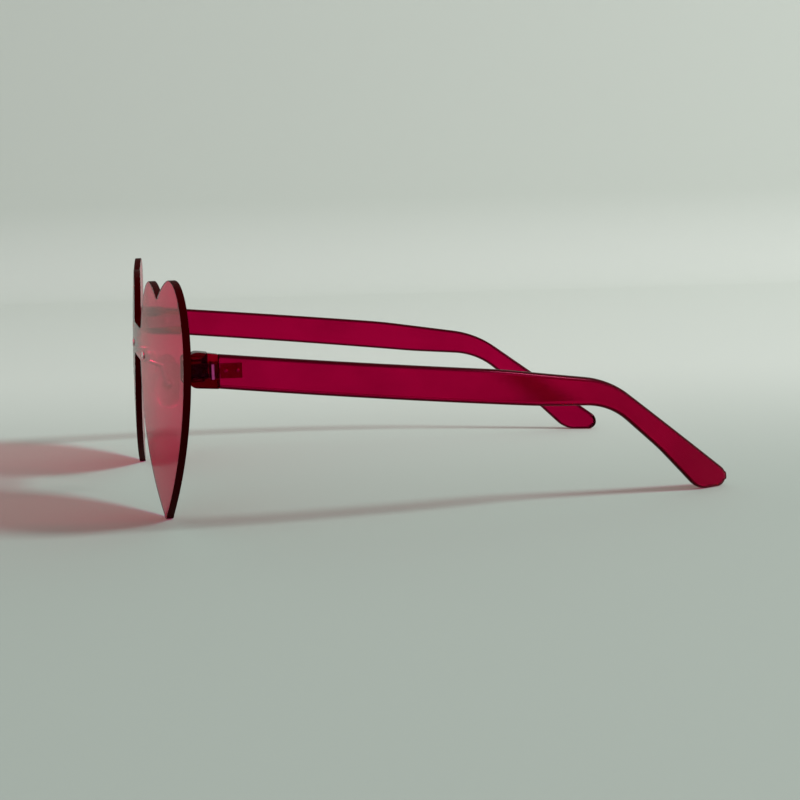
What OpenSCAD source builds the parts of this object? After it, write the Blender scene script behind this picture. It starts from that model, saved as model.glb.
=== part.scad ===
// Heart shaped sunglasses: one clear sheet forms both hearts and the bridge,
// and two folding temples hang on metal hinges behind its outer edges.
// The wearer looks along -Y, +Z is up and +X is the wearer's left.
// The sunglasses stand on the two heart tips and the ends of the temples.

/* [Hearts] */
// Width of one heart across its widest place
heart_w = 59.2; // [54:0.2:64]
// Height of one heart from its tip to its lobes
heart_h = 56.4; // [52:0.2:62]
// Distance between the tops of the two lobes
lobe_spacing = 26.8; // [22:0.2:32]
// Depth of the cleft below the lobes
cleft_depth = 4.3; // [2.5:0.1:8]
// Slope of the outline where it leaves the cleft, in degrees
cleft_slope = 32; // [20:1:50]
// Height of the widest place above the tip
widest_h = 37.8; // [34:0.2:42]
// Full angle of the tip, in degrees
tip_angle = 90; // [80:1:110]
// Rounding of the tip
tip_r = 3; // [1:0.1:6]
// Outward turn of each heart, in degrees
heart_turn = 3.6; // [0:0.1:8]
// Narrowest gap between the two hearts
heart_gap = 20.2; // [16:0.2:26]
// Height of the bridge strip
bridge_h = 8.1; // [6:0.1:12]
// Height of the middle of the bridge above the table
bridge_z = 38.7; // [34:0.1:42]
// Fillets where the bridge meets the hearts
bridge_fillet_r = 2; // [1:0.1:4]

/* [Sheet] */
// Thickness of the clear sheet
sheet_t = 1.7; // [1.4:0.1:2.4]
// Radius of the sheet's domed front face
dome_r = 466; // [380:1:600]
// Height of the foremost point of the dome above the table
dome_z = 19.6; // [14:0.1:30]

/* [Temples] */
// Distance from the foremost point of the dome to the end of a temple
temple_reach = 141.3; // [136:0.2:150]
// Thickness of a temple
temple_t = 2.6; // [2.2:0.1:3.4]
// How far a temple's outer face stands beyond the heart where it bows out most
temple_overhang = 0.7; // [0:0.1:1.2]
// Place of that widest bow behind the front of the dome
spread_y = 39.6; // [34:0.2:46]
// Radius of the inward bow of a temple seen from above
bow_r = 270; // [240:1:340]
// Height of a temple where it meets its end piece
bar_h = 7.7; // [7:0.1:8]
// Height of the middle of the bar at that seam above the table
bar_z = 37.6; // [36.8:0.1:38.4]
// Fall of the bar towards the ear, in degrees
bar_fall = 6.6; // [6:0.1:7]
// Distance from the bend over the ear to the end of a temple
drop_len = 34.1; // [32:0.1:40]
// Height of the bar at that bend
bend_h = 5.6; // [5:0.1:6.2]
// Length of the resting edge at the end of a temple, corner to corner
tip_len = 8.2; // [7.8:0.1:10]
// Height of the upper corner of the temple end above the table
tip_h = 3.7; // [3.4:0.1:4.6]

/* [End pieces] */
// Length of an end piece behind the sheet, along its outer face
end_len = 6.05; // [5.5:0.05:7.6]
// Height of an end piece at the sheet
end_h = 8.2; // [7.8:0.1:9]
// Rounding of the front corners of an end piece
end_corner_r = 2.2; // [1:0.1:2.6]
// Spacing of the two clear pins that hold an end piece to the sheet
lens_pin_pitch = 4.6; // [4:0.1:5]
// Radius of those pins
lens_pin_r = 0.6; // [0.5:0.05:0.7]
// Length of those pins
lens_pin_len = 5.2; // [4.4:0.1:5.4]

/* [Hinges] */
// Radius of the hinge knuckles
knuckle_r = 1.2; // [1.1:0.05:1.3]
// Height of one hinge knuckle
knuckle_h = 1.1; // [0.9:0.05:1.3]
// Distance of the hinge pin in front of the seam
pin_setback = 0.8; // [0.75:0.05:0.9]
// Radius of the hinge screw's shank
pin_r = 0.6; // [0.5:0.02:0.66]
// Thickness of the hinge leaves
leaf_t = 0.8; // [0.7:0.05:0.9]
// Length of the front leaf along the end piece
front_leaf_len = 4; // [3.4:0.1:4.2]
// Length of the rear leaf along the temple
rear_leaf_len = 4.8; // [4.4:0.1:8]
// Slit between the faces of the seam when the temple is open
seam_gap = 0.25; // [0.2:0.01:0.35]

/* [Nose pads] */
// Distance of a pad arm's foot from the inner edge of the heart
pad_foot_inset = 6.9; // [4:0.1:8]
// Height of a pad arm's foot above the table
pad_foot_z = 36.6; // [34:0.1:39]
// Radius of a pad arm's foot
pad_foot_r = 1.9; // [1.7:0.1:2.4]
// Radius of the pad arm's wire
pad_wire_r = 0.5; // [0.4:0.05:0.6]
// Length of a nose pad
pad_len = 12; // [11:0.2:14]
// Width of a nose pad
pad_w = 6.4; // [6:0.1:8]
// Thickness of a nose pad
pad_t = 2.4; // [2.2:0.1:3]
// Sideways place of a pad's middle
pad_x = 10; // [9.4:0.1:11]
// Height of a pad's middle above the table
pad_z = 28; // [26:0.2:30]
// Distance of a pad's middle behind the front of the dome
pad_y = 8.2; // [7.6:0.1:13]
// Splay of the pads towards the face, in degrees
pad_splay = 28; // [20:1:36]
// Lean of the pads outwards at their lower ends, in degrees
pad_lean = 14; // [8:1:20]

/* [Hidden] */

// Overrun of every cut past the face it opens
over = 1;
// Running clearance round the hinge screw in the moving knuckle
run_gap = 0.04;
// Slip clearance round screws, pins and prongs in their own body
slip_gap = 0.02;
// Slit between one knuckle and the next
knuckle_gap = 0.05;
// Clearance round the turning knuckle
swing_gap = 0.25;
// Facets of the dome, of round pieces and of the pads, and steps of curves
dome_facets = 360;
round_facets = 48;
pad_facets = 24;
curve_steps = 12;
corner_steps = 8;

// Handle lengths of the heart's curves, as shares of the stretch each spans
crown_share = 0.28;
shoulder_share = 0.56;
flank_share = 0.583;
toe_share = 0.033;
// How far the bridge strip and its fillets reach into each heart
bridge_lap = 2;
fillet_sink = 0.05;

// Heads of the hinge screws, and the driver slots of all screws
pin_head_r = 1.1;
pin_head_h = 0.5;
slot_w = 0.3;
slot_depth = 0.2;
// How deep a hinge leaf is let into the plastic, and its two prongs
leaf_sink = 0.4;
prong_r = 0.4;
prong_len = 1;
prong_shares = [0.25, 0.8];
// Upright bar of the front leaf that shows through a thin clear skin of the end piece
bar_t = 0.6;
bar_setback = 0.5;
bar_skin = 0.2;
// Rounding of the outer front edge of an end piece seen from above
end_edge_r = 1.2;
// Roundings of the temple's outline: seam corners, tapers, bend, drop and end;
// the rear corner is a share of the height of the end
seam_corner_r = 0.3;
taper_r = 150;
bend_top_r = 34;
bend_bottom_r = 19.5;
drop_r = 60;
tip_front_r = 7;
tip_back_share = 0.7;
tip_top_r = 1.4;
// Where the two edges of the bar start to close in, as shares of the way to the bend
top_taper_share = 0.7;
bottom_taper_share = 0.8;
// Extra fall of the top edge from there to the bend, in degrees
taper_fall = 3.2;
// Slope of the lower edge just ahead of the resting edge, in degrees
toe_slope = 45;
// Height above the table at which the lower edge of the drop steepens to that slope
toe_z = 11.4;
// How far the lower corner of the temple end stands behind the upper one
tip_rake = 0.4;
// Pad arm: foot, first bend of the wire and the disc that carries the pad
pad_foot_t = 1;
pad_wire_drop = 1.25;
pad_bend_reach = 3;
pad_bend_drop = 1.6;
pad_bend_bead = 0.06;
pad_disc_r = 1.4;
pad_disc_t = 0.8;
pad_disc_sink = 0.5;
pad_neck_len = 1.2;
// Pad screw: shank and head
pad_screw_r = 0.5;
pad_screw_len = 2.6;
pad_head_r = 0.9;
pad_head_h = 0.3;

lens_pink = [0.87, 0.33, 0.45, 0.5];
pink = [0.78, 0.06, 0.32, 0.8];
steel = [0.78, 0.78, 0.80];
pad_clear = [0.93, 0.90, 0.90];

// A cubic curve from p0 to p3 with the handles p1 and p2, without its first point
function curve(p0, p1, p2, p3) = [
    for (i = [1:curve_steps])
        let (t = i / curve_steps, s = 1 - t)
        s * s * s * p0 + 3 * s * s * t * p1 + 3 * s * t * t * p2 + t * t * t * p3
];

// An outline with its corners rounded: each corner is [x, y, radius]
function rounded(c) = [
    for (i = [0:len(c) - 1])
        let (
            p = [c[i].x, c[i].y],
            a = c[(i + len(c) - 1) % len(c)],
            b = c[(i + 1) % len(c)],
            u = ([a.x, a.y] - p) / norm([a.x, a.y] - p),
            v = ([b.x, b.y] - p) / norm([b.x, b.y] - p),
            half = acos(u * v) / 2,
            centre = p + (u + v) / norm(u + v) * c[i].z / sin(half),
            start = p + u * c[i].z / tan(half) - centre,
            sweep = (180 - 2 * half) * -sign(u.x * v.y - u.y * v.x)
        )
        for (k = [0:corner_steps])
            centre + turned(start, sweep * k / corner_steps)
];

function turned(p, g) = [p.x * cos(g) - p.y * sin(g), p.x * sin(g) + p.y * cos(g)];
function least_x(list) = min([for (p = list) p.x]);
function least_y(list) = min([for (p = list) p.y]);
function most_x(list) = max([for (p = list) p.x]);

// Half a heart from the cleft over the lobe to the tip, with the sharp tip at 0, 0
half_tip = tip_angle / 2;
tip_rise = tip_r / sin(half_tip) - tip_r;
cleft = [0, heart_h + tip_rise - cleft_depth];
lobe = [lobe_spacing / 2, heart_h + tip_rise];
wide = [heart_w / 2, widest_h + tip_rise];
toe = [tip_r * cos(half_tip), tip_r / sin(half_tip) - tip_r * sin(half_tip)];
half_heart = concat(
    [cleft],
    curve(cleft, cleft + crown_share * lobe.x * [cos(cleft_slope), sin(cleft_slope)],
        lobe - [crown_share * lobe.x, 0], lobe),
    curve(lobe, lobe + [shoulder_share * (wide.x - lobe.x), 0],
        wide + [0, shoulder_share * (lobe.y - wide.y)], wide),
    curve(wide, wide - [0, flank_share * wide.y],
        toe + toe_share * wide.y * [sin(half_tip), cos(half_tip)], toe),
    [for (k = [1:corner_steps])
        let (g = (90 - half_tip) * (1 - k / corner_steps))
        [0, tip_r / sin(half_tip)] + tip_r * [sin(g), -cos(g)]]
);

// The left heart in place: turned outwards and standing on its tip
turned_outer = [for (p = half_heart) turned(p, heart_turn)];
turned_inner = [for (p = half_heart) turned([-p.x, p.y], heart_turn)];
heart_shift = [
    heart_gap / 2 - least_x(turned_inner),
    -min(least_y(turned_outer), least_y(turned_inner))
];
outer_half = [for (p = turned_outer) p + heart_shift];
inner_half = [for (p = turned_inner) p + heart_shift];
heart_outline = concat(outer_half, [for (i = [len(inner_half) - 2:-1:1]) inner_half[i]]);
// Height and place of the inner flank, from the tip up to the lobe
inner_flank = [
    for (i = [len(inner_half) - corner_steps:-1:curve_steps + 1])
        [inner_half[i].y, inner_half[i].x]
];

// Depth of the domed front and back faces behind the foremost point of the dome
function face_y(r, x, z) = dome_r - sqrt(r * r - x * x - (z - dome_z) * (z - dome_z));
function front_y(x, z) = face_y(dome_r, x, z);
function back_y(x, z) = face_y(dome_r - sheet_t, x, z);
sheet_reach = back_y(most_x(outer_half), heart_h) + over;

bridge_top = bridge_z + bridge_h / 2;
bridge_bottom = bridge_z - bridge_h / 2;
bridge_top_x = lookup(bridge_top + bridge_fillet_r, inner_flank) + fillet_sink;
bridge_bottom_x = lookup(bridge_bottom - bridge_fillet_r, inner_flank) + fillet_sink;

// Faces of a temple seen from above, at each distance behind the dome
outer_reach = most_x(outer_half) + temple_overhang;
seam_y = back_y(outer_reach, bar_z) + end_len;
bow_x = outer_reach - temple_t - bow_r;
function bow_face(r, y) = bow_x + sqrt(r * r - (y - spread_y) * (y - spread_y));
function outer_x(y) = bow_face(bow_r + temple_t, y);
function inner_x(y) = bow_face(bow_r, y);
function bar_mid(y) = bar_z - (y - seam_y) * tan(bar_fall);

// Hinge: the front leaf lies inside the pin and the rear leaf outside it
temple_front_y = seam_y + seam_gap;
pin_y = seam_y - pin_setback;
rear_leaf_turn = asin((spread_y - temple_front_y - rear_leaf_len / 2) / bow_r);
pin_x = inner_x(temple_front_y) - (knuckle_r - leaf_sink)
    - (temple_front_y - pin_y) * tan(rear_leaf_turn);
pin_z = bar_z;
stack_h = 3 * knuckle_h + 2 * knuckle_gap;
knuckle_pitch = knuckle_h + knuckle_gap;
leaf_start = knuckle_r + swing_gap;

// End piece block
end_out_x = outer_x(seam_y);
end_in_x = pin_x - knuckle_r + leaf_t - leaf_sink;
end_front_y = back_y(end_in_x, bar_z);
lens_pin_x = (end_in_x + end_out_x) / 2;
lens_pin_z = bar_mid(end_front_y);

// Corners of the temple seen from the side
bar_top = bar_mid(temple_front_y) + bar_h / 2;
bar_bottom = bar_mid(temple_front_y) - bar_h / 2;
bend_y = temple_reach - drop_len;
bar_len = bend_y - temple_front_y;
top_taper_z = bar_top - top_taper_share * bar_len * tan(bar_fall);
bottom_taper_z = bar_bottom - bottom_taper_share * bar_len * tan(bar_fall);
bend_top_z = top_taper_z - (1 - top_taper_share) * bar_len * tan(bar_fall + taper_fall);
rest_y = temple_reach + tip_rake - tip_len;
temple_outline = rounded([
    [temple_front_y, bar_top, seam_corner_r],
    [temple_front_y + top_taper_share * bar_len, top_taper_z, taper_r],
    [bend_y, bend_top_z, bend_top_r],
    [temple_reach, tip_h, tip_top_r],
    [temple_reach + tip_rake, 0, tip_back_share * tip_h],
    [rest_y, 0, tip_front_r],
    [rest_y - toe_z / tan(toe_slope), toe_z, drop_r],
    [bend_y, bend_top_z - bend_h, bend_bottom_r],
    [temple_front_y + bottom_taper_share * bar_len, bottom_taper_z, taper_r],
    [temple_front_y, bar_bottom, seam_corner_r]
]);

// The part's origin lies under the middle of its length
sheet_front_y = min([for (p = heart_outline) front_y(p.x, p.y)]);
mid_y = (sheet_front_y + most_x(temple_outline)) / 2;

// Places the left side's pieces, or their mirror images on the right side
module side(name) {
    if (name == "left") children();
    else mirror([1, 0, 0]) children();
}

// Places a child on the front of the dome, its +Z running into the sheet
module on_dome(x, z) {
    d = [-x, dome_r - front_y(x, z), dome_z - z] / dome_r;
    translate([x, front_y(x, z), z]) rotate([0, acos(d.z), atan2(d.y, d.x)]) children();
}

module dome(r) {
    translate([0, dome_r, dome_z]) sphere(r, $fn = dome_facets);
}

module disc(r, h) {
    cylinder(r = r, h = h, $fn = round_facets);
}

// A slotted screw along +Z whose head sits below z = 0
module slotted_screw(head_r, head_h, shank_r, shank_len) {
    difference() {
        union() {
            translate([0, 0, -head_h]) disc(head_r, head_h);
            disc(shank_r, shank_len);
        }
        translate([-head_r - over, -slot_w / 2, -head_h - over])
            cube([2 * (head_r + over), slot_w, over + slot_depth]);
    }
}

module heart() {
    polygon(heart_outline);
}

module bridge() {
    r = bridge_fillet_r;
    steps = [0:corner_steps];
    half = concat(
        [for (k = steps)
            let (g = 90 * k / corner_steps)
            [bridge_top_x - r + r * sin(g), bridge_top + r - r * cos(g)]],
        [[bridge_top_x + bridge_lap, bridge_top + r], [bridge_bottom_x + bridge_lap, bridge_bottom - r]],
        [for (k = steps)
            let (g = 90 * k / corner_steps)
            [bridge_bottom_x - r + r * cos(g), bridge_bottom - r + r * sin(g)]]
    );
    polygon(concat(half, [for (i = [len(half) - 1:-1:0]) [-half[i].x, half[i].y]]));
}

// A flat outline carried through the domed sheet
module in_sheet() {
    difference() {
        intersection() {
            rotate([90, 0, 0]) linear_extrude(2 * sheet_reach, center = true) children();
            dome(dome_r);
        }
        dome(dome_r - sheet_t);
    }
}

module front_lens() {
    color(lens_pink) difference() {
        union() {
            in_sheet() heart();
            mirror([1, 0, 0]) in_sheet() heart();
            in_sheet() bridge();
        }
        for (name = ["left", "right"]) side(name) {
            for (s = [-1, 1]) on_dome(lens_pin_x, lens_pin_z + s * lens_pin_pitch / 2)
                translate([0, 0, -over]) disc(lens_pin_r + slip_gap, sheet_t + 2 * over);
            on_dome(pad_foot_x, pad_foot_z)
                translate([0, 0, -over]) disc(pad_screw_r + slip_gap, sheet_t + 2 * over);
        }
    }
}

// The block seen from the side and from above, cut to the back of the sheet
module end_block() {
    rear_top = bar_z + bar_h / 2;
    rear_bottom = bar_z - bar_h / 2;
    front_mid = bar_mid(end_front_y);
    width = end_out_x - end_in_x;
    side_outline = rounded([
        [seam_y, rear_top, seam_corner_r],
        [end_front_y, front_mid + end_h / 2, end_corner_r],
        [end_front_y, front_mid - end_h / 2, end_corner_r],
        [seam_y, rear_bottom, seam_corner_r]
    ]);
    plan_outline = rounded([
        [end_in_x, end_front_y - over, seam_corner_r],
        [end_out_x, back_y(end_out_x, bar_z), end_edge_r],
        [end_out_x, seam_y, seam_corner_r],
        [end_in_x, seam_y, seam_corner_r]
    ]);
    intersection() {
        translate([end_in_x - over, 0, 0]) rotate([90, 0, 90])
            linear_extrude(width + 2 * over) polygon(side_outline);
        translate([0, 0, rear_bottom - end_h]) linear_extrude(3 * end_h) polygon(plan_outline);
        dome(dome_r - sheet_t);
    }
}

module end_piece(name) {
    color(pink) side(name) difference() {
        end_block();
        // pocket for the knuckles, open above for the hinge screw
        translate([end_in_x - over, pin_y - leaf_start, pin_z - stack_h / 2 - swing_gap])
            cube([pin_x + leaf_start - end_in_x + over, leaf_start + pin_setback + over, end_h]);
        front_leaf_shape(prong_gap = slip_gap, reach = over);
        shown_bar(pin_x, gap = slip_gap);
        for (s = [-1, 1]) on_dome(lens_pin_x, lens_pin_z + s * lens_pin_pitch / 2)
            disc(lens_pin_r + slip_gap, lens_pin_len + slip_gap);
    }
}

module lens_pins(name) {
    color(pink) side(name)
        for (s = [-1, 1]) on_dome(lens_pin_x, lens_pin_z + s * lens_pin_pitch / 2)
            disc(lens_pin_r, lens_pin_len);
}

// Plate and prongs of the front leaf; reach carries the cut out past its inner face
module front_leaf_shape(prong_gap = 0, reach = 0) {
    plate_x = pin_x - knuckle_r;
    plate_y = pin_y - leaf_start - front_leaf_len;
    translate([plate_x - reach, plate_y, pin_z - stack_h / 2])
        cube([leaf_t + reach, front_leaf_len, stack_h]);
    for (k = prong_shares) translate([plate_x, plate_y + k * front_leaf_len, pin_z])
        rotate([0, 90, 0]) disc(prong_r + prong_gap, leaf_t + prong_len + prong_gap);
}

// Bar from some x out to the end piece's outer skin, in front of the pin
module shown_bar(from_x, gap = 0) {
    translate([from_x, pin_y - bar_setback - bar_t / 2 - gap, pin_z - stack_h / 2 - gap])
        cube([end_out_x - bar_skin + gap - from_x, bar_t + 2 * gap, stack_h + 2 * gap]);
}

module front_hinge_leaf(name) {
    color(steel) side(name) difference() {
        union() {
            front_leaf_shape();
            shown_bar(pin_x + leaf_start);
            for (s = [-1, 1]) translate([pin_x, pin_y, pin_z + s * knuckle_pitch - knuckle_h / 2]) {
                disc(knuckle_r, knuckle_h);
                translate([-knuckle_r, -leaf_start - leaf_t, 0])
                    cube([leaf_t, leaf_start + leaf_t, knuckle_h]);
                translate([0, -bar_setback - bar_t / 2, 0]) cube([leaf_start + bar_t, bar_t, knuckle_h]);
            }
        }
        translate([pin_x, pin_y, pin_z - stack_h / 2 - over])
            disc(pin_r + slip_gap, stack_h + 2 * over);
    }
}

module hinge_screw(name) {
    color(steel) side(name) translate([pin_x, pin_y, pin_z + stack_h / 2]) mirror([0, 0, 1])
        slotted_screw(pin_head_r, pin_head_h, pin_r, stack_h);
}

// Plate and prongs of the rear leaf, which follows the temple's bow
module rear_leaf_shape(prong_gap = 0, reach = 0) {
    plate_x = knuckle_r - leaf_t;
    translate([pin_x, pin_y, pin_z]) rotate([0, 0, -rear_leaf_turn]) {
        translate([plate_x - reach, leaf_start, -stack_h / 2])
            cube([leaf_t + reach, rear_leaf_len, stack_h]);
        for (k = prong_shares) translate([plate_x, leaf_start + k * rear_leaf_len, 0])
            rotate([0, 90, 0]) disc(prong_r + prong_gap, leaf_t + prong_len + prong_gap);
    }
}

module temple_hinge_leaf(name) {
    color(steel) side(name) difference() {
        union() {
            rear_leaf_shape();
            translate([pin_x, pin_y, pin_z - knuckle_h / 2]) {
                disc(knuckle_r, knuckle_h);
                rotate([0, 0, -rear_leaf_turn]) translate([knuckle_r - leaf_t, 0, 0])
                    cube([leaf_t, leaf_start + leaf_t, knuckle_h]);
            }
        }
        translate([pin_x, pin_y, pin_z - stack_h / 2 - over])
            disc(pin_r + run_gap, stack_h + 2 * over);
    }
}

module temple(name) {
    side_top = bar_top + end_h;
    color(pink) side(name) difference() {
        intersection() {
            rotate([90, 0, 90]) linear_extrude(outer_reach + over) polygon(temple_outline);
            translate([bow_x, spread_y, -over]) difference() {
                cylinder(r = bow_r + temple_t, h = side_top, $fn = dome_facets);
                translate([0, 0, -over]) cylinder(r = bow_r, h = side_top + 2 * over, $fn = dome_facets);
            }
        }
        rear_leaf_shape(prong_gap = slip_gap, reach = over);
        translate([pin_x, pin_y, pin_z - knuckle_h / 2]) rotate([0, 0, -rear_leaf_turn])
            translate([knuckle_r - leaf_t - over, 0, 0]) cube([leaf_t + over, leaf_start + leaf_t, knuckle_h]);
    }
}

// A round rod between two points
module rod(a, b, r) {
    d = (b - a) / norm(b - a);
    translate(a) rotate([0, acos(d.z), atan2(d.y, d.x)]) disc(r, norm(b - a));
}

// Places a child at a pad's middle: -X faces the nose, Y is its width, Z its length
module at_pad() {
    translate([pad_x, pad_y, pad_z]) rotate([0, -pad_lean, -pad_splay]) children();
}

pad_foot_x = heart_gap / 2 + pad_foot_inset;
pad_out = [cos(pad_splay) * cos(pad_lean), -sin(pad_splay) * cos(pad_lean), sin(pad_lean)];
pad_disc_x = pad_t / 2 - pad_disc_sink;
// Lift that brings the flat foot clear of the sheet's hollow back
foot_lift = pad_foot_r * pad_foot_r / (2 * (dome_r - sheet_t));

module pad_disc(extra = 0) {
    at_pad() translate([pad_disc_x, 0, 0]) rotate([0, 90, 0]) disc(pad_disc_r, pad_disc_t + extra);
}

module nose_pad_arm(name) {
    foot_y = back_y(pad_foot_x, pad_foot_z);
    start = [pad_foot_x, foot_y + pad_foot_t / 2, pad_foot_z - pad_wire_drop];
    bend = start + [0, pad_bend_reach, -pad_bend_drop];
    end = [pad_x, pad_y, pad_z] + (pad_disc_x + pad_disc_t / 2) * pad_out;
    neck = end + pad_neck_len * pad_out;
    color(steel) side(name) difference() {
        union() {
            on_dome(pad_foot_x, pad_foot_z) translate([0, 0, sheet_t + foot_lift])
                disc(pad_foot_r, pad_foot_t);
            rod(start, bend, pad_wire_r);
            rod(bend, neck, pad_wire_r);
            rod(end, neck, pad_wire_r);
            for (p = [bend, neck]) translate(p) sphere(pad_wire_r + pad_bend_bead, $fn = round_facets);
            pad_disc();
        }
        on_dome(pad_foot_x, pad_foot_z) disc(pad_screw_r + slip_gap, sheet_t + pad_foot_t + over);
    }
}

module nose_pad(name) {
    color(pad_clear) side(name) difference() {
        at_pad() hull() for (s = [-1, 1]) translate([0, 0, s * (pad_len - pad_w) / 2])
            scale([pad_t / pad_w, 1, 1]) sphere(pad_w / 2, $fn = pad_facets);
        pad_disc(extra = pad_t);
    }
}

module nose_pad_screw(name) {
    color(steel) side(name) on_dome(pad_foot_x, pad_foot_z)
        slotted_screw(pad_head_r, pad_head_h, pad_screw_r, pad_screw_len);
}

translate([0, -mid_y, 0]) {
    front_lens();
    end_piece("left");  // left_end_piece
    end_piece("right");  // right_end_piece
    lens_pins("left");  // left_lens_pins
    lens_pins("right");  // right_lens_pins
    front_hinge_leaf("left");  // left_front_hinge_leaf
    front_hinge_leaf("right");  // right_front_hinge_leaf
    hinge_screw("left");  // left_hinge_screw
    hinge_screw("right");  // right_hinge_screw
    temple_hinge_leaf("left");  // left_temple_hinge_leaf
    temple_hinge_leaf("right");  // right_temple_hinge_leaf
    temple("left");  // left_temple
    temple("right");  // right_temple
    nose_pad_arm("left");  // left_nose_pad_arm
    nose_pad_arm("right");  // right_nose_pad_arm
    nose_pad("left");  // left_nose_pad
    nose_pad("right");  // right_nose_pad
    nose_pad_screw("left");  // left_nose_pad_screw
    nose_pad_screw("right");  // right_nose_pad_screw
}
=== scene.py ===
import math

import bmesh
import bpy
from mathutils import Matrix, Vector
from mathutils.geometry import interpolate_bezier


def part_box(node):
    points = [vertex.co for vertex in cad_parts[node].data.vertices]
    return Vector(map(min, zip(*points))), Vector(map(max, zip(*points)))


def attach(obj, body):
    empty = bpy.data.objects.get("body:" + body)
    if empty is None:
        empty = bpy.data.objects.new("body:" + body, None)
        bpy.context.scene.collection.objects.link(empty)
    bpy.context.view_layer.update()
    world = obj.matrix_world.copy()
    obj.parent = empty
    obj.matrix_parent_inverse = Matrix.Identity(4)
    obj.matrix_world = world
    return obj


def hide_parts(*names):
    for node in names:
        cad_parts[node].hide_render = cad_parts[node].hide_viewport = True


bl_info = {
    "name": "Heart shaped sunglasses",
    "version": (1, 0, 0),
    "blender": (4, 5, 0),
    "location": "View3D > Sidebar > Sunglasses",
    "description": "Builds the visible pieces of the sunglasses around the packed part",
    "category": "Add Mesh",
}

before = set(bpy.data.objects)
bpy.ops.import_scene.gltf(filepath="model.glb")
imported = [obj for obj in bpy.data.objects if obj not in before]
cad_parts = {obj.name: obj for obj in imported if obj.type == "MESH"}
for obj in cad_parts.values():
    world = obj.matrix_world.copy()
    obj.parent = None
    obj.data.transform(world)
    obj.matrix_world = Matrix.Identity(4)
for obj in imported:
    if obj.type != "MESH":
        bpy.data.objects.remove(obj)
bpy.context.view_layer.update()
MM = 0.001
SIDES = {"left": 1, "right": -1}
FRONT = "front"
# Points closer together than this count as one
EPSILON = 1e-6
# The photograph's camera: its turn round the glasses, its height above the horizon and its roll
CAMERA_TURN = math.radians(77.448)
CAMERA_HEIGHT = math.radians(7.908)
CAMERA_ROLL = math.radians(-1.590)
QUARTER_TURN = math.pi / 2
# Name of the face layer that holds how far a face turns away from the broad faces, which sets where the
# plastic paints shade on its rims
SLANT = "slant"


# The values that a user would change


def length(name, description, millimetres):
    return bpy.props.FloatProperty(
        name=name, description=description, default=millimetres * MM, min=0, unit="LENGTH", precision=5
    )


def turn(name, description, degrees):
    return bpy.props.FloatProperty(
        name=name, description=description, default=math.radians(degrees), unit="ROTATION"
    )


def hue(name, description, value):
    return bpy.props.FloatVectorProperty(
        name=name, description=description, default=value, size=3, min=0, max=1, subtype="COLOR"
    )


def amount(name, description, value, top=1.0):
    return bpy.props.FloatProperty(
        name=name, description=description, default=value, min=0, max=top, subtype="FACTOR"
    )


class SunglassesSheet(bpy.types.PropertyGroup):
    """Sizes of the one-piece front sheet"""

    heart_w: length("Heart width", "Width of one heart across its widest place", 59.2)
    heart_h: length("Heart height", "Height of one heart from its tip to its lobes", 56.4)
    lobe_spacing: length("Lobe spacing", "Distance between the tops of the two lobes", 26.8)
    cleft_depth: length("Cleft depth", "Depth of the cleft below the lobes", 4.3)
    cleft_slope: turn("Cleft slope", "Slope of the outline where it leaves the cleft", 32)
    widest_h: length("Widest height", "Height of the widest place above the tip", 37.8)
    tip_angle: turn("Tip angle", "Full angle of the tip", 90)
    tip_r: length("Tip radius", "Rounding of the tip", 3)
    heart_turn: turn("Heart turn", "Outward turn of each heart", 3.6)
    heart_gap: length("Heart gap", "Narrowest gap between the two hearts", 20.2)
    bridge_h: length("Bridge height", "Height of the bridge strip", 8.1)
    bridge_z: length("Bridge place", "Height of the middle of the bridge above the table", 38.7)
    fillet_r: length("Bridge fillet", "Fillets where the bridge meets the hearts", 2)
    thickness: length("Thickness", "Thickness of the sheet", 1.7)
    dome_r: length("Dome radius", "Radius of the domed front face", 466)
    dome_z: length("Dome height", "Height of the foremost point of the dome", 19.6)
    cell: length("Cell", "Size of the mesh cells across the sheet", 2.5)
    edge: length("Edge", "Rounding of the cut edge", 0.16)


class SunglassesArms(bpy.types.PropertyGroup):
    """Sizes of the temples and the end pieces"""

    reach: length("Reach", "Distance from the front of the dome to the end of a temple", 141.22)
    seam_y: length("Seam", "Distance from the front of the dome to the front of a temple", 13.46)
    thickness: length("Thickness", "Thickness of a temple", 2.6)
    spread_y: length("Widest place", "Place of the widest bow behind the front", 39.6)
    bow_r: length("Bow radius", "Radius of the inward bow", 270)
    bar_h: length("Bar height", "Height of a temple at the seam", 7.7)
    bar_z: length("Bar place", "Height of the middle of the bar at the seam", 37.57)
    bar_fall: turn("Bar fall", "Fall of the bar's lower edge towards the ear", 6.6)
    top_fall: turn("Top fall", "Fall of the bar's upper edge towards the ear", 6.2)
    taper_fall: turn("Taper fall", "Further fall of the upper edge close to the bend", 2.4)
    drop_len: length("Drop length", "Distance from the bend over the ear to the end", 34.1)
    bend_h: length("Bend height", "Height of the bar at the bend", 6.2)
    rest_len: length("Resting edge", "Length of the resting edge, corner to corner", 8.9)
    tip_h: length("End height", "Height of the upper corner of the end", 4)
    toe_z: length("Toe height", "Height at which the lower edge of the drop steepens", 11.4)
    cell: length("Cell", "Length of the mesh cells along a temple", 2.5)
    edge: length("Edge", "Rounding of the long edges", 0.95)
    seam_edge: length("Seam edge", "Rounding of the front end of a temple", 0.1)
    block_edge: length("Block edge", "Rounding of the end pieces' edges", 0.3)
    metal_edge: length("Metal edge", "Rounding of the metal parts' edges", 0.04)


class SunglassesPads(bpy.types.PropertyGroup):
    """Sizes of the nose pads"""

    length: length("Length", "Length of a nose pad", 12)
    width: length("Width", "Width of a nose pad", 6.4)
    thickness: length("Thickness", "Thickness of a nose pad", 2.4)
    splay: turn("Splay", "Splay of the pads towards the face", 28)
    lean: turn("Lean", "Lean of the pads outwards at their lower ends", 14)


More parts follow.
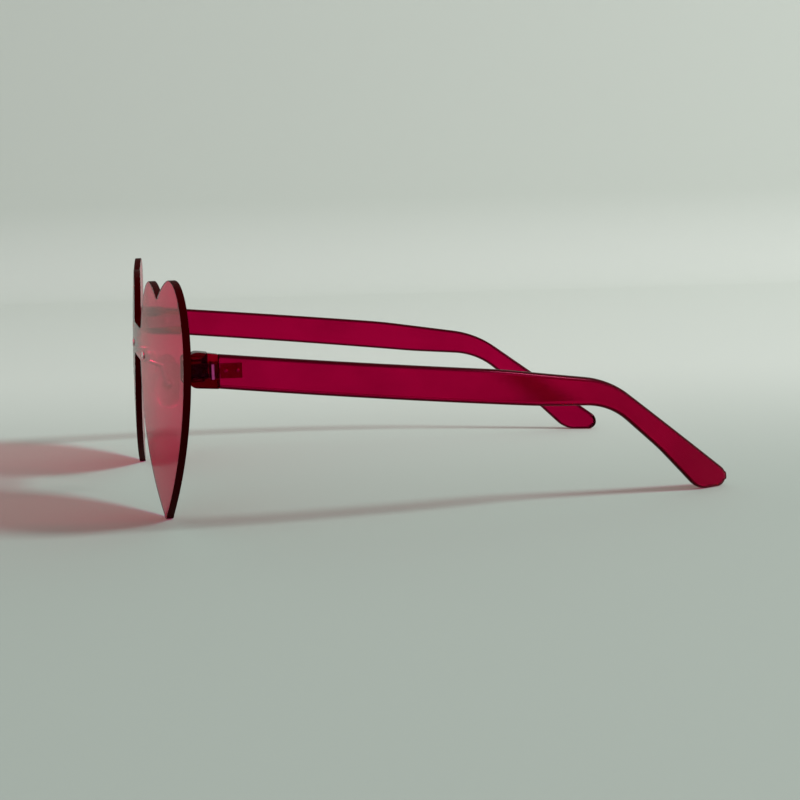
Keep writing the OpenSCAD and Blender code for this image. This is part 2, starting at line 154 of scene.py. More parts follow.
class SunglassesFinish(bpy.types.PropertyGroup):
    """Colours and finishes"""

    plastic: hue("Plastic", "Hue that the clear plastic lets through", (0.903, 0.0, 0.603))
    density: bpy.props.FloatProperty(
        name="Density", description="How fast the plastic darkens with depth, per metre", default=2900, min=0
    )
    sheet: hue("Sheet", "Hue that the clear sheet lets through", (0.945, 0.0, 0.603))
    gloss: amount("Gloss roughness", "Roughness of the polished sheet", 0.03)
    moulded: amount("Moulded roughness", "Roughness of the temples and end pieces", 0.16)
    steel: hue("Steel", "Colour of the hinges, screws and pad arms", (0.88, 0.88, 0.89))
    pads: hue("Pads", "Colour of the clear nose pads", (0.95, 0.94, 0.93))
    floor: hue("Floor", "Colour of the floor close by", (0.40, 0.455, 0.41))
    # The paler far floor and wall are painted light: the floor's colour brightens towards them in place of
    # brighter light there.
    wall: hue("Wall", "Colour of the far floor and the wall behind it", (0.65, 0.69, 0.64))
    backdrop: hue("Backdrop", "Colour beyond the floor", (0.50, 0.53, 0.46))


GROUPS = (SunglassesSheet, SunglassesArms, SunglassesPads, SunglassesFinish)


def values(group):
    return getattr(bpy.context.scene, group.__name__.lower())


# Shapes that several pieces share


def turned(p, g):
    return Vector((p.x * math.cos(g) - p.y * math.sin(g), p.x * math.sin(g) + p.y * math.cos(g)))


def cubic(a, b, c, d, steps=20):
    """Points of a cubic curve after its first one."""
    return [p.to_2d() for p in interpolate_bezier(a.to_3d(), b.to_3d(), c.to_3d(), d.to_3d(), steps + 1)[1:]]


def arc(centre, radius, start, end, steps=8):
    """Points on an arc, with its angles measured from the first axis."""
    angles = [start + (end - start) * k / steps for k in range(steps + 1)]
    return [centre + radius * Vector((math.cos(g), math.sin(g))) for g in angles]


def rounded(corners, steps=10):
    """An outline with its corners rounded: each corner is x, y and radius."""
    points = []
    for i, (x, y, r) in enumerate(corners):
        p = Vector((x, y))
        if r == 0:
            points.append(p)
            continue
        u = (Vector(corners[i - 1][:2]) - p).normalized()
        v = (Vector(corners[(i + 1) % len(corners)][:2]) - p).normalized()
        half = u.angle(v) / 2
        centre = p + (u + v).normalized() * r / math.sin(half)
        start = p + u * r / math.tan(half) - centre
        sweep = math.copysign(math.pi - 2 * half, -(u.x * v.y - u.y * v.x))
        points += [centre + turned(start, sweep * k / steps) for k in range(steps + 1)]
    return points


def dense(points, step):
    """The outline with its long stretches divided."""
    out = []
    for a, b in zip(points, points[1:] + points[:1]):
        parts = max(1, math.ceil((b - a).length / step))
        out += [a.lerp(b, k / parts) for k in range(parts)]
    return out


def half_heart(s):
    """Half a heart from the cleft over the lobe to the tip."""
    crown, shoulder, flank, toe_share = 0.28, 0.56, 0.583, 0.033
    half = s.tip_angle / 2
    rise = s.tip_r / math.sin(half) - s.tip_r
    cleft = Vector((0, s.heart_h + rise - s.cleft_depth))
    lobe = Vector((s.lobe_spacing / 2, s.heart_h + rise))
    wide = Vector((s.heart_w / 2, s.widest_h + rise))
    tip_centre = Vector((0, s.tip_r / math.sin(half)))
    toe = tip_centre + s.tip_r * Vector((math.cos(half), -math.sin(half)))
    leave = Vector((math.cos(s.cleft_slope), math.sin(s.cleft_slope)))
    points = [cleft]
    points += cubic(cleft, cleft + crown * lobe.x * leave, lobe - Vector((crown * lobe.x, 0)), lobe)
    over_shoulder = lobe + Vector((shoulder * (wide.x - lobe.x), 0))
    points += cubic(lobe, over_shoulder, wide + Vector((0, shoulder * (lobe.y - wide.y))), wide)
    above_toe = toe + toe_share * wide.y * Vector((math.sin(half), math.cos(half)))
    points += cubic(wide, wide - Vector((0, flank * wide.y)), above_toe, toe, steps=28)
    return points + arc(tip_centre, s.tip_r, -half, -QUARTER_TURN)[1:]


def front_outline(s):
    """The left half of the sheet seen from the front, from the bridge round the heart and back."""
    half = half_heart(s)
    outer = [turned(p, s.heart_turn) for p in half]
    inner = [turned(Vector((-p.x, p.y)), s.heart_turn) for p in half]
    place = Vector((s.heart_gap / 2 - min(p.x for p in inner), -min(p.y for p in outer + inner)))
    outer = [p + place for p in outer]
    inner = [p + place for p in inner]
    top, bottom, r = s.bridge_z + s.bridge_h / 2, s.bridge_z - s.bridge_h / 2, s.fillet_r
    lobe = max(range(len(inner)), key=lambda i: inner[i].y)

    def flank_x(z):
        for a, b in zip(inner[lobe:], inner[lobe + 1 :]):
            if a.y >= z >= b.y:
                return a.lerp(b, (a.y - z) / (a.y - b.y)).x
        raise ValueError("the bridge misses the heart")

    above = [p for i, p in enumerate(inner) if i <= lobe or p.y > top + r + r / 4]
    below = [p for i, p in enumerate(inner) if i > lobe and p.y < bottom - r - r / 4]
    x_top, x_bottom = flank_x(top + r) - r, flank_x(bottom - r) - r
    points = [Vector((0, top))] + arc(Vector((x_top, top + r)), r, -QUARTER_TURN, 0)
    points += above[::-1] + outer[1:] + below[-2::-1]
    points += arc(Vector((x_bottom, bottom - r)), r, 0, QUARTER_TURN) + [Vector((0, bottom))]
    return points


def face_y(s, depth, x, z):
    """Distance of the sheet's front face, or a face at some depth in it, behind the foremost point."""
    return s.dome_r - math.sqrt((s.dome_r - depth) ** 2 - x**2 - (z - s.dome_z) ** 2)


def dome_front():
    """Place of the dome's foremost point along the part."""
    s = values(SunglassesSheet)
    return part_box("front_lens")[0].y - min(face_y(s, 0, p.x, p.y) for p in front_outline(s))


# Mesh steps that several pieces share


def grid_face(bm, faces, ring, cuts):
    """Gives flat faces a ring of narrow faces round their edge and a grid inside it."""
    bm.normal_update()
    bmesh.ops.inset_region(bm, faces=faces, thickness=ring, use_even_offset=True, use_boundary=True)
    inside = faces
    for place, normal in cuts:
        parts = {v for f in inside for v in f.verts} | {e for f in inside for e in f.edges} | set(inside)
        cut = bmesh.ops.bisect_plane(bm, geom=list(parts), dist=EPSILON, plane_co=place, plane_no=normal)
        inside = [g for g in cut["geom"] if isinstance(g, bmesh.types.BMFace)]


def thicken(bm, axis, thickness, near, far):
    """Thickens flat faces, then lays one face on near and the other on far, functions of a point."""
    bm.normal_update()
    bmesh.ops.solidify(bm, geom=bm.verts[:] + bm.edges[:] + bm.faces[:], thickness=thickness)
    places = [v.co[axis] for v in bm.verts]
    middle = (min(places) + max(places)) / 2
    for v in bm.verts:
        v.co[axis] = near(v.co) if v.co[axis] < middle else far(v.co)


def round_edges(bm, width, angle=math.radians(70), segments=3, wanted=None):
    """Rounds the edges whose faces turn by more than an angle, or those among them that are wanted."""
    bmesh.ops.recalc_face_normals(bm, faces=bm.faces)
    sharp = [e for e in bm.edges if e.calc_face_angle(0) > angle]
    bmesh.ops.bevel(
        bm,
        geom=[e for e in sharp if wanted is None or wanted(e)],
        offset=width,
        offset_type="OFFSET",
        affect="EDGES",
        segments=segments,
        profile=0.5,
        material=-1,
        clamp_overlap=False,
    )


def mark_rims(bm, turned_away):
    """Notes on each face how far it turns away from the broad faces, which its plastic reads to paint shade
    on its rims.
    """
    layer = bm.faces.layers.float.new(SLANT)
    for f in bm.faces:
        f[layer] = turned_away(f)


def add_piece(name, bm, material, body, replaced):
    """Turns a bmesh into an object that rides on a body and stands for some solids."""
    for f in bm.faces:
        f.smooth = True
    mesh = bpy.data.meshes.new(name)
    bm.to_mesh(mesh)
    bm.free()
    mesh.materials.append(material)
    piece = bpy.data.objects.new(name, mesh)
    bpy.context.scene.collection.objects.link(piece)
    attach(piece, body)
    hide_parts(*replaced)
    return piece


def even_normals(piece):
    """Keeps broad faces flat-looking beside their rounded edges."""
    modifier = piece.modifiers.new("Even normals", "WEIGHTED_NORMAL")
    modifier.mode = "FACE_AREA"
    modifier.weight = 90


def dress_solid(solid, name, material, body, edge, change=None, others=()):
    """Makes a merged copy of a solid with rounded edges, which may stand for other solids too."""
    level, sharp = math.radians(0.5), math.radians(32)
    bm = bmesh.new()
    bm.from_mesh(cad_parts[solid].data)
    bmesh.ops.remove_doubles(bm, verts=bm.verts, dist=EPSILON)
    bmesh.ops.dissolve_limit(bm, angle_limit=level, verts=bm.verts, edges=bm.edges)
    if change:
        change(bm)
    piece = add_piece(name, bm, material, body, (solid, *others))
    soft = piece.modifiers.new("Rounded edges", "BEVEL")
    soft.width = edge
    soft.segments = 2
    soft.limit_method = "ANGLE"
    soft.angle_limit = sharp
    soft.use_clamp_overlap = True
    even_normals(piece)
    return piece


# Materials


def node(tree, kind, settings=(), **inputs):
    """Adds a node, with its settings as pairs and its inputs by name or number."""
    made = tree.nodes.new(kind)
    for key, value in settings:
        setattr(made, key, value)
    for key, value in inputs.items():
        socket = made.inputs[int(key[1:]) if key[1:].isdigit() else key.replace("_", " ")]
        if isinstance(value, bpy.types.NodeSocket):
            tree.links.new(value, socket)
        else:
            socket.default_value = value
    return made


def limited(tree, value, least, most, low=0.0, high=1.0, kind="LINEAR"):
    """Low where a value is least, high where it is most, and in between elsewhere."""
    settings = (("interpolation_type", kind),)
    return node(tree, "ShaderNodeMapRange", settings, _0=value, _1=least, _2=most, _3=low, _4=high).outputs[0]


def blended(tree, share, first, second):
    """A colour between two, by share."""
    return node(tree, "ShaderNodeMix", (("data_type", "RGBA"),), _0=share, _6=first, _7=second).outputs[2]


def base(body):
    """What makes a surface's base colour so far."""
    return body.inputs["Base Color"].links[0].from_socket


def polish_marks():
    """Uneven polish and fine scratches, as a group that puts out a roughness, a height and a mask."""
    name = "Polish marks"
    if name in bpy.data.node_groups:
        return bpy.data.node_groups[name]
    tree = bpy.data.node_groups.new(name, "ShaderNodeTree")
    for label in ("Roughness", "Change", "Smear scale", "Scratch scale"):
        tree.interface.new_socket(label, in_out="INPUT", socket_type="NodeSocketFloat")
    for label in ("Roughness", "Height", "Mask"):
        tree.interface.new_socket(label, in_out="OUTPUT", socket_type="NodeSocketFloat")
    least_smear, most_smear, least_scratch, most_scratch = 0.42, 0.72, 0.58, 0.74
    given = tree.nodes.new("NodeGroupInput").outputs
    place = node(tree, "ShaderNodeTexCoord").outputs["Object"]
    smears = node(tree, "ShaderNodeTexNoise", Vector=place, Scale=given["Smear scale"], Detail=4.0)
    spread = limited(tree, smears.outputs[0], least_smear, most_smear)
    drawn = node(tree, "ShaderNodeMapping", Vector=place, Rotation=(0.3, 0.2, 0.5), Scale=(0.12, 1.0, 0.5))
    fine = node(tree, "ShaderNodeTexNoise", Vector=drawn.outputs[0], Scale=given["Scratch scale"], Detail=2.0)
    lines = limited(tree, fine.outputs[0], least_scratch, most_scratch)
    product = (("operation", "MULTIPLY"),)
    more = node(tree, "ShaderNodeMath", product, _0=spread, _1=given["Change"])
    rough = node(tree, "ShaderNodeMath", (("operation", "ADD"),), _0=given["Roughness"], _1=more.outputs[0])
    put = tree.nodes.new("NodeGroupOutput")
    tree.links.new(rough.outputs[0], put.inputs["Roughness"])
    tree.links.new(lines, put.inputs["Height"])
    tree.links.new(spread, put.inputs["Mask"])
    return tree


def marked(name, roughness, change, smear_scale, scratch_scale, strength, light, dull):
    """A new material with its polish marks, its relief and a base colour that changes between two."""
    material = bpy.data.materials.new(name)
    material.use_nodes = True
    tree = material.node_tree
    tree.nodes.clear()
    output = tree.nodes.new("ShaderNodeOutputMaterial")
    marks = tree.nodes.new("ShaderNodeGroup")
    marks.node_tree = polish_marks()
    for socket, value in zip(marks.inputs, (roughness, change, smear_scale, scratch_scale)):
        socket.default_value = value
    depth = 0.02 * MM
    relief = node(tree, "ShaderNodeBump", Strength=strength, Distance=depth, Height=marks.outputs["Height"])
    body = node(
        tree,
        "ShaderNodeBsdfPrincipled",
        Base_Color=blended(tree, marks.outputs["Mask"], (*light, 1.0), (*dull, 1.0)),
        Roughness=marks.outputs["Roughness"],
        Normal=relief.outputs[0],
    )
    return material, tree, body, output


def let_light_through(tree, body, output, colour):
    """Lets the lamps and the scattered light pass the surface, so that its shadow is tinted, not black."""
    through = node(tree, "ShaderNodeBsdfTransparent", Color=(*colour, 1.0))
    path = node(tree, "ShaderNodeLightPath").outputs
    passes = node(
        tree,
        "ShaderNodeMath",
        (("operation", "MAXIMUM"),),
        _0=path["Is Shadow Ray"],
        _1=path["Is Diffuse Ray"],
    )
    mixed = node(tree, "ShaderNodeMixShader", _0=passes.outputs[0], _1=body.outputs[0], _2=through.outputs[0])
    tree.links.new(mixed.outputs[0], output.inputs["Surface"])


def clear_plastic(name, gloss, colour, density, shine, edge_shine, dull, painted_rim_darkening, by_view=False):
    """Magenta plastic that darkens with depth.

    Shine and edge_shine are the shares of its faces and rims that mirror, dull is the colour of its
    cloudy places, and rim is how much painted shade darkens its rims: their colour turns to a near-black
    red and a dark diffuse layer is mixed in there. The rims are marked on the mesh, or else are
    the places seen at a slant.
    """
    if name in bpy.data.materials:
        return bpy.data.materials[name]
    index = 1.49
    clean, shadow, mirrored = (1.0, 0.985, 0.99), (0.95, 0.93, 0.94), (1.0, 0.02, 0.2, 1.0)
    # The rim and cut colours are painted shade: near-black red laid on the rims for their dark outlines.
    painted_rim_shade_colour, painted_cut_shade_colour = (0.04, 0.0, 0.0, 1.0), (0.03, 0.0, 0.0, 1.0)
    material, tree, body, output = marked(
        name,
        gloss,
        change=0.05,
        smear_scale=55.0,
        scratch_scale=700.0,
        strength=0.12,
        light=clean,
        dull=dull,
    )
    body.inputs["IOR"].default_value = index
    body.inputs["Specular Tint"].default_value = mirrored
    body.inputs["Transmission Weight"].default_value = 1.0
    plain = node(tree, "ShaderNodeBsdfRefraction", Color=(1.0, 1.0, 1.0, 1.0), IOR=index, Roughness=gloss)
    if by_view:
        slant, least, most = node(tree, "ShaderNodeLayerWeight", Blend=0.5).outputs["Facing"], 0.14, 0.5
    else:
        marks = node(tree, "ShaderNodeAttribute", (("attribute_name", SLANT),))
        slant, least, most = marks.outputs["Fac"], 0.02, 0.12
    # Share of painted shade on the rims, from the rim marks or the slant of view.
    share = limited(tree, slant, least, most, 0.0, painted_rim_darkening)
    mirrors = limited(tree, share, 0.0, painted_rim_darkening, shine, edge_shine)
    # Turns the base colour near-black on the rims: painted shade.
    base_with_painted_rims = blended(tree, share, base(body), painted_rim_shade_colour)
    tree.links.new(base_with_painted_rims, body.inputs["Base Color"])
    tree.links.new(base_with_painted_rims, plain.inputs["Color"])
    # A dark diffuse layer on the rims, painted shade like the rim colour.
    cut = node(tree, "ShaderNodeBsdfDiffuse", Color=painted_cut_shade_colour)
    # Mixes the clear refraction with the painted dark rim layer.
    satin = node(tree, "ShaderNodeMixShader", _0=share, _1=plain.outputs[0], _2=cut.outputs[0])
    face = node(tree, "ShaderNodeMixShader", _0=mirrors, _1=satin.outputs[0], _2=body.outputs[0])
    let_light_through(tree, face, output, shadow)
    inside = node(tree, "ShaderNodeVolumeAbsorption", Color=(*colour, 1.0), Density=density)
    tree.links.new(inside.outputs[0], output.inputs["Volume"])
    return material


def sheet_plastic():
    """The polished sheet's plastic."""
    f = values(SunglassesFinish)
    return clear_plastic(
        "Clear pink sheet",
        f.gloss,
        f.sheet,
        f.density,
        shine=0.55,
        edge_shine=0.11,
        dull=(0.985, 0.955, 0.965),
        painted_rim_darkening=1.0,
    )


def temple_plastic():
    """The moulded temples' plastic, with softer faces than the sheet."""
    f = values(SunglassesFinish)
    return clear_plastic(
        "Clear magenta plastic",
        f.moulded,
        f.plastic,
        f.density,
        shine=0.5,
        edge_shine=0.3,
        dull=(0.82, 0.7, 0.8),
        painted_rim_darkening=0.9,
    )


def block_plastic():
    """The end pieces' plastic, deeper in colour than the temples'."""
    f = values(SunglassesFinish)
    return clear_plastic(
        "Deep magenta plastic",
        f.moulded,
        f.plastic,
        2 * f.density,
        shine=0.5,
        edge_shine=0.6,
        dull=(0.9, 0.8, 0.85),
        painted_rim_darkening=0.85,
        by_view=True,
    )


def clear_silicone():
    """Soft clear rubber with a satin face."""
    name = "Clear silicone"
    if name in bpy.data.materials:
        return bpy.data.materials[name]
    f = values(SunglassesFinish)
    material, tree, body, output = marked(
        name,
        roughness=0.42,
        change=0.16,
        smear_scale=240.0,
        scratch_scale=1500.0,
        strength=0.1,
        light=f.pads,
        dull=tuple(0.93 * c for c in f.pads),
    )
    body.inputs["IOR"].default_value = 1.41
    body.inputs["Specular Tint"].default_value = (0.3, 0.3, 0.3, 1.0)
    body.inputs["Transmission Weight"].default_value = 1.0
    let_light_through(tree, body, output, (0.9, 0.9, 0.9))
    return material


def bright_steel():
    """Bright metal with fine brushing."""
    name = "Bright steel"
    if name in bpy.data.materials:
        return bpy.data.materials[name]
    f = values(SunglassesFinish)
    material, tree, body, output = marked(
        name,
        roughness=0.34,
        change=0.12,
        smear_scale=500.0,
        scratch_scale=2400.0,
        strength=0.05,
        light=f.steel,
        dull=tuple(0.82 * c for c in f.steel),
    )
    body.inputs["Metallic"].default_value = 1.0
    tree.links.new(body.outputs[0], output.inputs["Surface"])
    return material


def matt_floor():
    """The matt floor, with painted light that makes it paler towards the wall."""
    f = values(SunglassesFinish)
    near, far = 0.08, -0.24
    material, tree, body, output = marked(
        "Plain floor",
        roughness=0.85,
        change=0.1,
        smear_scale=3.0,
        scratch_scale=300.0,
        strength=0.0,
        light=f.floor,
        dull=tuple(0.98 * c for c in f.floor),
    )
    place = node(tree, "ShaderNodeTexCoord").outputs["Object"]
    facing = node(tree, "ShaderNodeMapping", Vector=place, Rotation=(0, 0, QUARTER_TURN - CAMERA_TURN))
    depth = node(tree, "ShaderNodeSeparateXYZ", Vector=facing.outputs[0])
    # Painted light: the colour goes from the near floor's to the paler far one with distance from the camera.
    share = limited(tree, depth.outputs[0], near, far, kind="SMOOTHSTEP")
    tree.links.new(blended(tree, share, base(body), (*f.wall, 1.0)), body.inputs["Base Color"])
    tree.links.new(body.outputs[0], output.inputs["Surface"])
    return material


# Pieces


class SUNGLASSES_OT_front_sheet(bpy.types.Operator):
    """Makes the domed sheet with its two hearts and bridge"""

    bl_idname = "sunglasses.front_sheet"
    bl_label = "Front sheet"

    def execute(self, context):
        s = values(SunglassesSheet)
        ring = 1.2 * MM
        y0 = dome_front()
        bm = bmesh.new()
        points = dense(front_outline(s), s.cell)
        bm.faces.new([bm.verts.new((p.x, 0, p.y)) for p in points])
        bmesh.ops.mirror(bm, geom=bm.verts[:] + bm.edges[:] + bm.faces[:], axis="X", merge_dist=EPSILON)
        bmesh.ops.recalc_face_normals(bm, faces=bm.faces)
        half = math.ceil(max(p.x for p in points) / s.cell)
        cuts = [((k * s.cell, 0, 0), (1, 0, 0)) for k in range(-half, half + 1) if k]
        cuts += [((0, 0, k * s.cell), (0, 0, 1)) for k in range(1, half)]
        grid_face(bm, bm.faces[:], ring, cuts)
        thicken(
            bm,
            1,
            s.thickness,
            lambda p: y0 + face_y(s, 0, p.x, p.z),
            lambda p: y0 + face_y(s, s.thickness, p.x, p.z),
        )
        round_edges(bm, s.edge)
        bm.normal_update()
        rim_below = 0.9
        mark_rims(bm, lambda f: float(abs(f.normal.y) < rim_below))
        piece = add_piece("heart_front_sheet", bm, sheet_plastic(), FRONT, ["front_lens"])
        even_normals(piece)
        return {"FINISHED"}


def temple_outline(a):
    """A temple seen from the side, measured from the foremost point of the dome."""
    top, bottom = a.bar_z + a.bar_h / 2, a.bar_z - a.bar_h / 2
    bend_y = a.reach - a.drop_len
    bar_len = bend_y - a.seam_y
    top_share, bottom_share = 0.7, 0.8
    top_z = top - top_share * bar_len * math.tan(a.top_fall)
    bottom_z = bottom - bottom_share * bar_len * math.tan(a.bar_fall)
    bend_z = top_z - (1 - top_share) * bar_len * math.tan(a.bar_fall + a.taper_fall)
    heel_y = a.reach + 0.4 * MM
    rest_y = heel_y - a.rest_len
    bar_r, bend_top_r, bend_low_r = 150 * MM, 26 * MM, 19.5 * MM
    tip_r, heel_r, rest_r, toe_r = 3 * MM, 0.56 * a.tip_h, 7 * MM, 60 * MM
    return rounded(
        [
            (a.seam_y, top, 0),
            (a.seam_y + top_share * bar_len, top_z, bar_r),
            (bend_y, bend_z, bend_top_r),
            (a.reach, a.tip_h, tip_r),
            (heel_y, 0, heel_r),
            (rest_y, 0, rest_r),
            (rest_y - a.toe_z, a.toe_z, toe_r),
            (bend_y, bend_z - a.bend_h, bend_low_r),
            (a.seam_y + bottom_share * bar_len, bottom_z, bar_r),
            (a.seam_y, bottom, 0),
        ]
    )


class SUNGLASSES_OT_temples(bpy.types.Operator):
    """Makes the two bowed temples"""

    bl_idname = "sunglasses.temples"
    bl_label = "Temples"

    def execute(self, context):
        a = values(SunglassesArms)
        ring = 1.1 * MM
        y0 = dome_front()
        points = dense(temple_outline(a), a.cell)
        for side, sign in SIDES.items():
            lowest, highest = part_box(f"{side}_temple")
            bow_x = max(abs(lowest.x), abs(highest.x)) - a.thickness - a.bow_r

            def bowed(r):
                return lambda p: bow_x + math.sqrt(r**2 - (p.y - a.spread_y) ** 2)

            bm = bmesh.new()
            bm.faces.new([bm.verts.new((0, p.x, p.y)) for p in points])
            steps = math.floor((a.reach - a.seam_y) / a.cell)
            cuts = [((0, a.seam_y + k * a.cell, 0), (0, 1, 0)) for k in range(1, steps + 1)]
            grid_face(bm, bm.faces[:], ring, cuts)
            thicken(bm, 0, a.thickness, bowed(a.bow_r), bowed(a.bow_r + a.thickness))
            bmesh.ops.scale(bm, vec=(sign, 1, 1), verts=bm.verts)
            bmesh.ops.translate(bm, vec=(0, y0, 0), verts=bm.verts)
            front = min(v.co.y for v in bm.verts) + EPSILON
            round_edges(bm, a.edge, segments=6, wanted=lambda e: max(v.co.y for v in e.verts) > front)
            round_edges(bm, a.seam_edge, wanted=lambda e: max(v.co.y for v in e.verts) < front)
            bow_centre = Vector((sign * bow_x, y0 + a.spread_y))

            def off_the_bow(f):
                outward = (f.calc_center_median().to_2d() - bow_centre).normalized()
                return 1 - abs(f.normal.to_2d().dot(outward))

            mark_rims(bm, off_the_bow)
            solid = f"{side}_temple"
            name = f"{side}_bowed_temple"
            piece = add_piece(name, bm, temple_plastic(), f"{side}_arm", [solid])
            even_normals(piece)
        return {"FINISHED"}


class SUNGLASSES_OT_end_pieces(bpy.types.Operator):
    """Makes the blocks that carry the temples, just clear of the sheet's back"""

    bl_idname = "sunglasses.end_pieces"
    bl_label = "End pieces"

    def execute(self, context):
        s, a = values(SunglassesSheet), values(SunglassesArms)
        y0 = dome_front()
        glue = 0.05 * MM

        def step_back(bm):
            centre = Vector((0, y0 + s.dome_r, s.dome_z))
            for v in bm.verts:
                if abs((v.co - centre).length - (s.dome_r - s.thickness)) < glue:
                    v.co.y += glue

        for side in SIDES:
            dress_solid(
                f"{side}_end_piece",
                f"{side}_end_block",
                block_plastic(),
                FRONT,
                a.block_edge,
                change=step_back,
                others=[f"{side}_lens_pins"],
            )
        return {"FINISHED"}


class SUNGLASSES_OT_metal_parts(bpy.types.Operator):
    """Makes the hinges, screws and pad arms from their solids, with broken edges"""

    bl_idname = "sunglasses.metal_parts"
    bl_label = "Metal parts"

    def execute(self, context):
        edge = values(SunglassesArms).metal_edge
        for side in SIDES:
            for solid, name, body in (
                ("front_hinge_leaf", "front_leaf", FRONT),
                ("temple_hinge_leaf", "temple_leaf", f"{side}_arm"),
                ("hinge_screw", "pivot_screw", FRONT),
                ("nose_pad_arm", "pad_wire", FRONT),
                ("nose_pad_screw", "pad_wire_screw", FRONT),
            ):
                dress_solid(f"{side}_{solid}", f"{side}_{name}", bright_steel(), body, edge)
        return {"FINISHED"}


class SUNGLASSES_OT_nose_pads(bpy.types.Operator):
    """Makes the two soft nose pads"""

    bl_idname = "sunglasses.nose_pads"
    bl_label = "Nose pads"

    def execute(self, context):
        p = values(SunglassesPads)
        for side, sign in SIDES.items():
            lowest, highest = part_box(f"{side}_nose_pad")
            bm = bmesh.new()
            bmesh.ops.create_uvsphere(bm, u_segments=48, v_segments=24, radius=p.width / 2)
            for v in bm.verts:
                if abs(v.co.z) > EPSILON:
                    v.co.z += math.copysign((p.length - p.width) / 2, v.co.z)
            bmesh.ops.scale(bm, vec=(p.thickness / p.width, 1, 1), verts=bm.verts)
            for angle, axis in ((p.lean, "Y"), (p.splay, "Z")):
                swing = Matrix.Rotation(-sign * angle, 3, axis)
                bmesh.ops.rotate(bm, cent=(0, 0, 0), matrix=swing, verts=bm.verts)
            bmesh.ops.translate(bm, vec=(lowest + highest) / 2, verts=bm.verts)
            add_piece(f"{side}_soft_pad", bm, clear_silicone(), FRONT, [f"{side}_nose_pad"])
        return {"FINISHED"}


class SUNGLASSES_OT_stage(bpy.types.Operator):
    """Makes the camera, the floor, the lamps and the backdrop"""

    bl_idname = "sunglasses.stage"
    bl_label = "Stage"

    def execute(self, context):
        place_camera()
        lay_floor()
        hang_lamps()
        return {"FINISHED"}


def place_camera():
    """The photograph's camera, found from the outlines of the glasses."""
    place = Matrix.Translation((0.442405, -0.099877, 0.082167))
    back = Vector(
        (
            math.sin(CAMERA_TURN) * math.cos(CAMERA_HEIGHT),
            -math.cos(CAMERA_TURN) * math.cos(CAMERA_HEIGHT),
            math.sin(CAMERA_HEIGHT),
        )
    )
    right = Vector((math.cos(CAMERA_TURN), math.sin(CAMERA_TURN), 0))
    up = back.cross(right)
    across = right * math.cos(CAMERA_ROLL) + up * math.sin(CAMERA_ROLL)
    over = up * math.cos(CAMERA_ROLL) - right * math.sin(CAMERA_ROLL)
    data = bpy.data.cameras.new("Camera")
    data.lens = 76.75
    data.sensor_width = 36
    data.clip_start = 0.01
    camera = bpy.data.objects.new("Camera", data)
    camera.matrix_world = place @ Matrix((across, over, back)).transposed().to_4x4()
    bpy.context.scene.collection.objects.link(camera)
    bpy.context.scene.camera = camera


def lay_floor():
    """A floor that curves up into a wall behind the glasses, as the photograph's camera sees them."""
    wall_distance, wall_height, wall_bend = 0.68, 1.2, 0.06
    near_edge, half_width = 1.6, 1.6
    profile = [Vector((wall_distance, wall_height))]
    profile += arc(Vector((wall_distance - wall_bend, wall_bend)), wall_bend, 0, -QUARTER_TURN, 12)
    profile += [Vector((-near_edge, 0))]
    bm = bmesh.new()
    verts = [bm.verts.new((-p.x, -half_width, p.y)) for p in profile]
    edges = [bm.edges.new(pair) for pair in zip(verts, verts[1:])]
    swept = bmesh.ops.extrude_edge_only(bm, edges=edges)["geom"]
    moved = [g for g in swept if isinstance(g, bmesh.types.BMVert)]
    bmesh.ops.translate(bm, vec=(0, 2 * half_width, 0), verts=moved)
    away = Matrix.Rotation(CAMERA_TURN - QUARTER_TURN, 3, "Z")
    bmesh.ops.rotate(bm, cent=(0, 0, 0), matrix=away, verts=bm.verts)
    for f in bm.faces:
        f.smooth = True
    mesh = bpy.data.meshes.new("Floor")
    bm.to_mesh(mesh)
    bm.free()
    mesh.materials.append(matt_floor())
    floor = bpy.data.objects.new("Floor", mesh)
    bpy.context.scene.collection.objects.link(floor)


def lamp(name, place, target, size, power):
    data = bpy.data.lights.new(name, "AREA")
    data.shape = "DISK"
    data.size = size
    data.energy = power
    made = bpy.data.objects.new(name, data)
    made.location = place
    made.rotation_mode = "QUATERNION"
    made.rotation_quaternion = (Vector(target) - Vector(place)).to_track_quat("-Z", "Y")
    bpy.context.scene.collection.objects.link(made)


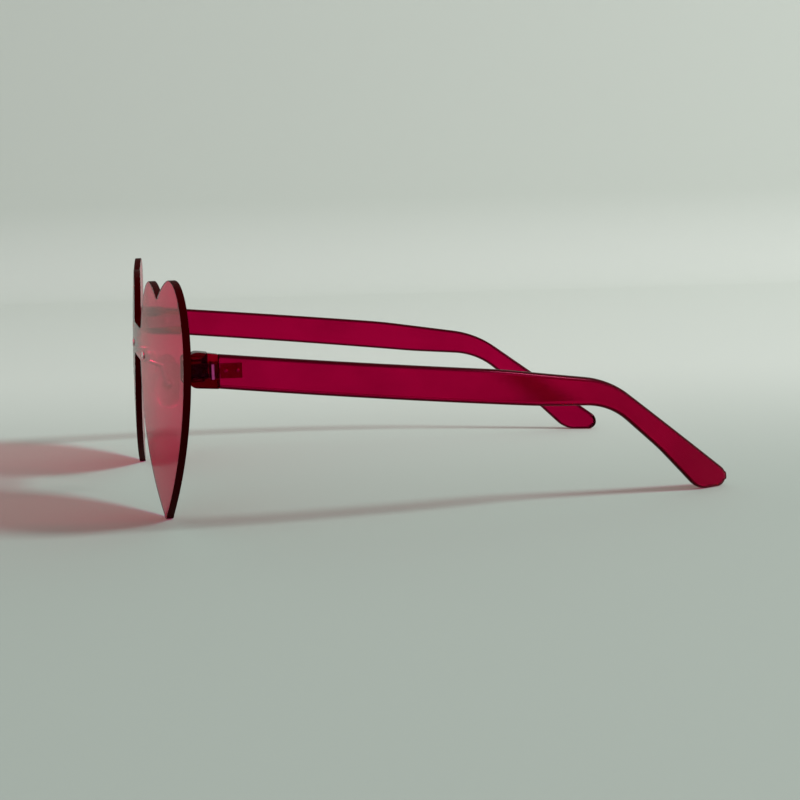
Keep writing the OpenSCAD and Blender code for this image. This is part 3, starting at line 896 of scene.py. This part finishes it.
def hang_lamps():
    """One soft lamp at the back on the right, and an even light from all round."""
    lamp("Key lamp", place=(0.92, 1.52, 1.60), target=(0, 0, 0.02), size=0.6, power=41.0)
    world = bpy.data.worlds.new("Even light")
    world.use_nodes = True
    tree = world.node_tree
    tree.nodes.clear()
    f = values(SunglassesFinish)
    seen_straight = node(tree, "ShaderNodeLightPath").outputs["Is Camera Ray"]
    even = node(tree, "ShaderNodeBackground", Color=(1.0, 1.0, 1.0, 1.0), Strength=0.41)
    seen = node(tree, "ShaderNodeBackground", Color=(*f.backdrop, 1.0), Strength=1.0)
    mixed = node(tree, "ShaderNodeMixShader", _0=seen_straight, _1=even.outputs[0], _2=seen.outputs[0])
    output = tree.nodes.new("ShaderNodeOutputWorld")
    tree.links.new(mixed.outputs[0], output.inputs["Surface"])
    bpy.context.scene.world = world


class SUNGLASSES_PT_sidebar(bpy.types.Panel):
    """Lists the pieces and their sizes"""

    bl_idname = "SUNGLASSES_PT_sidebar"
    bl_label = "Sunglasses"
    bl_space_type = "VIEW_3D"
    bl_region_type = "UI"
    bl_category = "Sunglasses"

    def draw(self, context):
        for operator in OPERATORS:
            self.layout.operator(operator.bl_idname)
        for group in GROUPS:
            box = self.layout.box()
            for name in group.__annotations__:
                box.prop(values(group), name)


OPERATORS = (
    SUNGLASSES_OT_stage,
    SUNGLASSES_OT_front_sheet,
    SUNGLASSES_OT_temples,
    SUNGLASSES_OT_end_pieces,
    SUNGLASSES_OT_metal_parts,
    SUNGLASSES_OT_nose_pads,
)


def register():
    for group in GROUPS:
        bpy.utils.register_class(group)
        setattr(bpy.types.Scene, group.__name__.lower(), bpy.props.PointerProperty(type=group))
    for item in (*OPERATORS, SUNGLASSES_PT_sidebar):
        bpy.utils.register_class(item)


def unregister():
    for item in (SUNGLASSES_PT_sidebar, *reversed(OPERATORS)):
        bpy.utils.unregister_class(item)
    for group in reversed(GROUPS):
        delattr(bpy.types.Scene, group.__name__.lower())
        bpy.utils.unregister_class(group)


def main():
    register()
    bpy.ops.sunglasses.stage()
    bpy.ops.sunglasses.front_sheet()
    bpy.ops.sunglasses.temples()
    bpy.ops.sunglasses.end_pieces()
    bpy.ops.sunglasses.metal_parts()
    bpy.ops.sunglasses.nose_pads()
    bpy.context.scene.view_settings.view_transform = "Standard"


if __name__ == "__main__":
    main()
